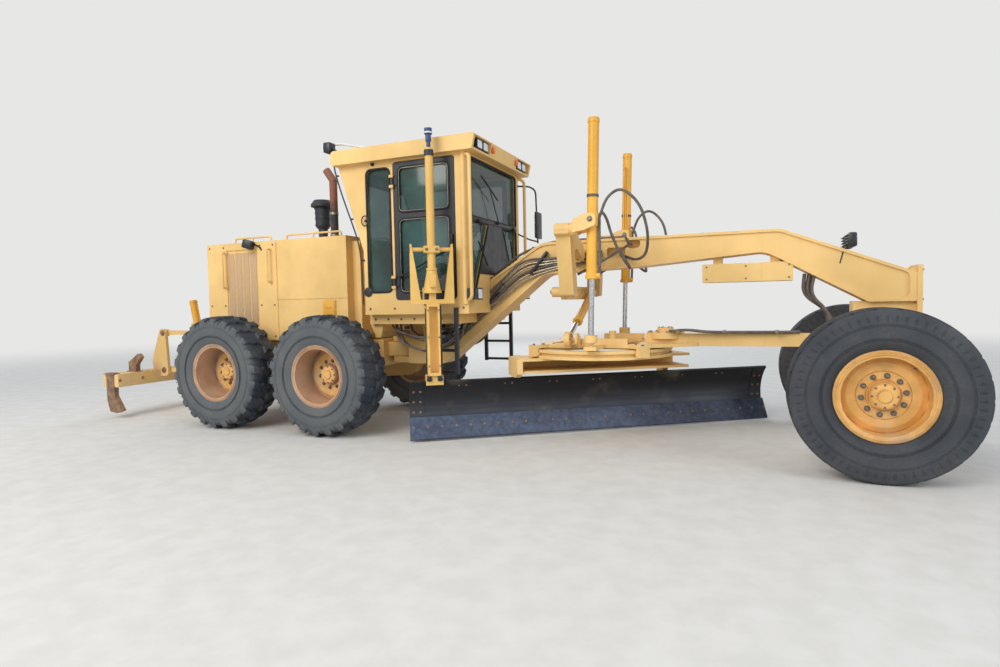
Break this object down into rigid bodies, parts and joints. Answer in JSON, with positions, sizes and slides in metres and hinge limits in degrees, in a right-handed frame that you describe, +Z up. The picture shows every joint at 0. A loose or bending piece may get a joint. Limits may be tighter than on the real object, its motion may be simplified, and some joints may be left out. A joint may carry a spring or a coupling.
{
  "type": "motor grader",
  "caption": "Six-wheel motor grader with articulated frame, angled blade on a turning circle, blade-control mast, enclosed cab and rear ripper.",
  "frame": {"origin": "on the ground under the centre of the overall box", "axes": "+X forward, +Y to the machine's left, +Z up"},
  "size_m": [9.685, 2.605, 3.24],
  "materials": {
    "yellow_panel": "sun-faded satin",
    "yellow_frame": "worn satin",
    "yellow_cylinder": "gloss",
    "tyre": "dusty",
    "rim_tan": "dusty, rusted edges",
    "rim_ochre": "dusty, rusted edges",
    "dark_steel": "worn, bluish",
    "edge_steel": "ground",
    "black_paint": "satin",
    "black_plastic": "matte",
    "chrome_rod": "polished",
    "tinted_glass": "tinted",
    "exhaust": "rusted",
    "blue_head": "matte",
    "seat_cloth": "woven",
    "engine_grey": "cast"
  },
  "bodies": {
    "rear_frame": {"rear_frame": "yellow_frame", "rear_axle": "yellow_frame", "engine_block": "engine_grey", "hood": "yellow_panel", "hood_grilles": "yellow_panel", "exhaust_stack": "exhaust", "pre_cleaner": "black_plastic"},
    "front_frame": {"front_frame": "yellow_frame", "cab_body": "yellow_panel", "cab_roof": "yellow_panel", "cab_glass": "tinted_glass", "seat": "seat_cloth", "console": "black_plastic", "steps": "black_paint", "lamps": "black_paint", "lift_arms": "yellow_frame"},
    "door_right": {"door_right": "black_paint", "door_glass_right": "tinted_glass"},
    "door_left": {"door_left": "black_paint", "door_glass_left": "tinted_glass"},
    "front_axle": {"front_axle": "yellow_frame"},
    "lean_bar": {"lean_bar": "yellow_frame"},
    "tandem_right": {"tandem_case_right": "yellow_frame"},
    "lean_yoke_right": {"lean_yoke_right": "yellow_frame"},
    "knuckle_right": {"knuckle_right": "yellow_frame"},
    "lift_barrel_right": {"lift_barrel_right": "yellow_cylinder"},
    "lift_rod_right": {"lift_rod_right": "chrome_rod"},
    "front_wheel_right": {"front_tyre_right": "tyre", "front_rim_right": "rim_ochre"},
    "mid_wheel_right": {"mid_tyre_right": "tyre", "mid_rim_right": "rim_tan"},
    "rear_wheel_right": {"rear_tyre_right": "tyre", "rear_rim_right": "rim_tan"},
    "tandem_left": {"tandem_case_left": "yellow_frame"},
    "lean_yoke_left": {"lean_yoke_left": "yellow_frame"},
    "knuckle_left": {"knuckle_left": "yellow_frame"},
    "lift_barrel_left": {"lift_barrel_left": "yellow_cylinder"},
    "lift_rod_left": {"lift_rod_left": "chrome_rod"},
    "front_wheel_left": {"front_tyre_left": "tyre", "front_rim_left": "rim_ochre"},
    "mid_wheel_left": {"mid_tyre_left": "tyre", "mid_rim_left": "rim_tan"},
    "rear_wheel_left": {"rear_tyre_left": "tyre", "rear_rim_left": "rim_tan"},
    "drawbar": {"drawbar": "yellow_frame"},
    "circle": {"circle": "yellow_frame"},
    "blade_carrier": {"blade_carrier": "yellow_frame"},
    "blade": {"moldboard": "dark_steel", "cutting_edge": "edge_steel", "mast_column": "yellow_cylinder"},
    "mast_rod": {"mast_rod": "blue_head"},
    "shift_barrel": {"shift_barrel": "yellow_cylinder"},
    "shift_rod": {"shift_rod": "chrome_rod"},
    "ripper_links_low": {"ripper_links_low": "yellow_frame"},
    "ripper_links_high": {"ripper_links_high": "yellow_frame"},
    "ripper": {"ripper_frame": "yellow_frame", "ripper_shanks": "dark_steel"},
    "ripper_barrels": {"ripper_barrels": "yellow_cylinder"},
    "ripper_rods": {"ripper_rods": "chrome_rod"}
  },
  "joints": [
    {"name": "articulation", "type": "hinge", "parent": "rear_frame", "child": "front_frame", "pos_m": [-0.7825, -0.05261, 0.9], "axis": [0, 0, -1], "range_deg": [-20, 20]},
    {"name": "tandem_right", "type": "hinge", "parent": "rear_frame", "child": "tandem_right", "pos_m": [-1.9185, -0.75261, 0.675], "axis": [0, 1, 0], "range_deg": [-15, 25]},
    {"name": "mid_wheel_right", "type": "hinge", "parent": "tandem_right", "child": "mid_wheel_right", "pos_m": [-1.163, -1.08011, 0.675], "axis": [0, 1, 0], "continuous": true},
    {"name": "rear_wheel_right", "type": "hinge", "parent": "tandem_right", "child": "rear_wheel_right", "pos_m": [-2.674, -1.08011, 0.675], "axis": [0, 1, 0], "continuous": true},
    {"name": "tandem_left", "type": "hinge", "parent": "rear_frame", "child": "tandem_left", "pos_m": [-1.9185, 0.64739, 0.675], "axis": [0, -1, 0], "range_deg": [-25, 15]},
    {"name": "mid_wheel_left", "type": "hinge", "parent": "tandem_left", "child": "mid_wheel_left", "pos_m": [-1.163, 0.97489, 0.675], "axis": [0, 1, 0], "continuous": true},
    {"name": "rear_wheel_left", "type": "hinge", "parent": "tandem_left", "child": "rear_wheel_left", "pos_m": [-2.674, 0.97489, 0.675], "axis": [0, 1, 0], "continuous": true},
    {"name": "axle_swing", "type": "hinge", "parent": "front_frame", "child": "front_axle", "pos_m": [4.1675, -0.05261, 0.655], "axis": [1, 0, 0], "range_deg": [-16, 16]},
    {"name": "lean_right", "type": "hinge", "parent": "front_axle", "child": "lean_yoke_right", "pos_m": [4.1675, -0.79261, 0.675], "axis": [1, 0, 0], "range_deg": [-18, 18]},
    {"name": "lean_left", "type": "hinge", "parent": "front_axle", "child": "lean_yoke_left", "pos_m": [4.1675, 0.68739, 0.675], "axis": [1, 0, 0], "range_deg": [-18, 18]},
    {"name": "lean_bar", "type": "hinge", "parent": "lean_yoke_right", "child": "lean_bar", "pos_m": [4.1675, -0.79261, 0.825], "axis": [1, 0, 0], "range_deg": [-18, 18]},
    {"name": "steer_right", "type": "hinge", "parent": "lean_yoke_right", "child": "knuckle_right", "pos_m": [4.1675, -0.93261, 0.675], "axis": [0, 0, 1], "range_deg": [-50, 50]},
    {"name": "steer_left", "type": "hinge", "parent": "lean_yoke_left", "child": "knuckle_left", "pos_m": [4.1675, 0.82739, 0.675], "axis": [0, 0, 1], "range_deg": [-50, 50]},
    {"name": "front_wheel_right", "type": "hinge", "parent": "knuckle_right", "child": "front_wheel_right", "pos_m": [4.1675, -1.08011, 0.675], "axis": [0, 1, 0], "continuous": true},
    {"name": "front_wheel_left", "type": "hinge", "parent": "knuckle_left", "child": "front_wheel_left", "pos_m": [4.1675, 0.97489, 0.675], "axis": [0, 1, 0], "continuous": true},
    {"name": "door_left", "type": "hinge", "parent": "front_frame", "child": "door_left", "pos_m": [-0.4065, 0.71939, 2.2], "axis": [0, 0, 1], "range_deg": [0, 100]},
    {"name": "door_right", "type": "hinge", "parent": "front_frame", "child": "door_right", "pos_m": [-0.4065, -0.82461, 2.2], "axis": [0, 0, -1], "range_deg": [0, 3]},
    {"name": "drawbar_lift", "type": "hinge", "parent": "front_frame", "child": "drawbar", "pos_m": [3.8675, -0.05261, 1.05], "axis": [0, 1, 0], "range_deg": [-17, 0.5]},
    {"name": "lift_tilt_right", "type": "hinge", "parent": "front_frame", "child": "lift_barrel_right", "pos_m": [1.8275, -0.85261, 2.21], "axis": [0, 1, 0], "range_deg": [-6, 2]},
    {"name": "lift_rod_right", "type": "slide", "parent": "lift_barrel_right", "child": "lift_rod_right", "axis": [-0.0256, 0, -0.9997], "range_m": [-0.05, 0.65]},
    {"name": "lift_tilt_left", "type": "hinge", "parent": "front_frame", "child": "lift_barrel_left", "pos_m": [1.8275, 0.74739, 2.21], "axis": [0, 1, 0], "range_deg": [-6, 2]},
    {"name": "lift_rod_left", "type": "slide", "parent": "lift_barrel_left", "child": "lift_rod_left", "axis": [-0.0256, 0, -0.9997], "range_m": [-0.05, 0.65]},
    {"name": "shift_tilt", "type": "hinge", "parent": "front_frame", "child": "shift_barrel", "pos_m": [1.5125, 0.27739, 1.5], "axis": [0.7841, -0.5522, -0.2832], "range_deg": [-3, 36]},
    {"name": "shift_rod", "type": "slide", "parent": "shift_barrel", "child": "shift_rod", "axis": [0, -0.9039, -0.4277], "range_m": [-0.05, 0.42]},
    {"name": "circle_turn", "type": "hinge", "parent": "drawbar", "child": "circle", "pos_m": [1.6875, -0.05261, 0.85], "axis": [0, 0, 1], "range_deg": [0, 105]},
    {"name": "blade_tip", "type": "hinge", "parent": "circle", "child": "blade_carrier", "pos_m": [1.50059, 0.21935, 0.3], "axis": [-0.8241, -0.5664, 0], "range_deg": [-40, 0]},
    {"name": "blade_shift", "type": "slide", "parent": "blade_carrier", "child": "blade", "axis": [0.8241, 0.5664, 0], "range_m": [-0.6, 0.04]},
    {"name": "mast_extend", "type": "slide", "parent": "blade", "child": "mast_rod", "axis": [0, 0, 1], "range_m": [0, 0.8]},
    {"name": "ripper_lift", "type": "hinge", "parent": "rear_frame", "child": "ripper_links_low", "pos_m": [-3.6725, -0.05261, 0.585], "axis": [0, 1, 0], "range_deg": [-20, 25]},
    {"name": "ripper_top", "type": "hinge", "parent": "rear_frame", "child": "ripper_links_high", "pos_m": [-3.6725, -0.05261, 1.11], "axis": [0, 1, 0], "range_deg": [-21, 26]},
    {"name": "ripper_level", "type": "hinge", "parent": "ripper_links_low", "child": "ripper", "pos_m": [-4.4625, -0.05261, 0.585], "axis": [0, 1, 0], "range_deg": [-26, 21]},
    {"name": "ripper_tilt", "type": "hinge", "parent": "rear_frame", "child": "ripper_barrels", "pos_m": [-3.9665, -0.05261, 1.2], "axis": [0, 1, 0], "range_deg": [-8, 8]},
    {"name": "ripper_rod", "type": "slide", "parent": "ripper_barrels", "child": "ripper_rods", "axis": [0.1976, 0, -0.9803], "range_m": [-0.12, 0.12]}
  ],
  "couplings": [
    {"joint": "lean_left", "follows": "lean_right", "ratio": 1},
    {"joint": "lean_bar", "follows": "lean_right", "ratio": -1},
    {"joint": "steer_left", "follows": "steer_right", "ratio": 1},
    {"joint": "lift_tilt_right", "follows": "drawbar_lift", "ratio": 0.2067},
    {"joint": "lift_rod_right", "follows": "drawbar_lift", "m_per_rad": -2.0408},
    {"joint": "lift_tilt_left", "follows": "drawbar_lift", "ratio": 0.2067},
    {"joint": "lift_rod_left", "follows": "drawbar_lift", "m_per_rad": -2.0408},
    {"joint": "shift_tilt", "follows": "drawbar_lift", "ratio": -2.0177},
    {"joint": "shift_rod", "follows": "drawbar_lift", "m_per_rad": -1.3977},
    {"joint": "ripper_top", "follows": "ripper_lift", "ratio": 1},
    {"joint": "ripper_level", "follows": "ripper_lift", "ratio": -1},
    {"joint": "ripper_tilt", "follows": "ripper_lift", "ratio": -0.070385},
    {"joint": "ripper_rod", "follows": "ripper_lift", "m_per_rad": -0.15981}
  ]
}
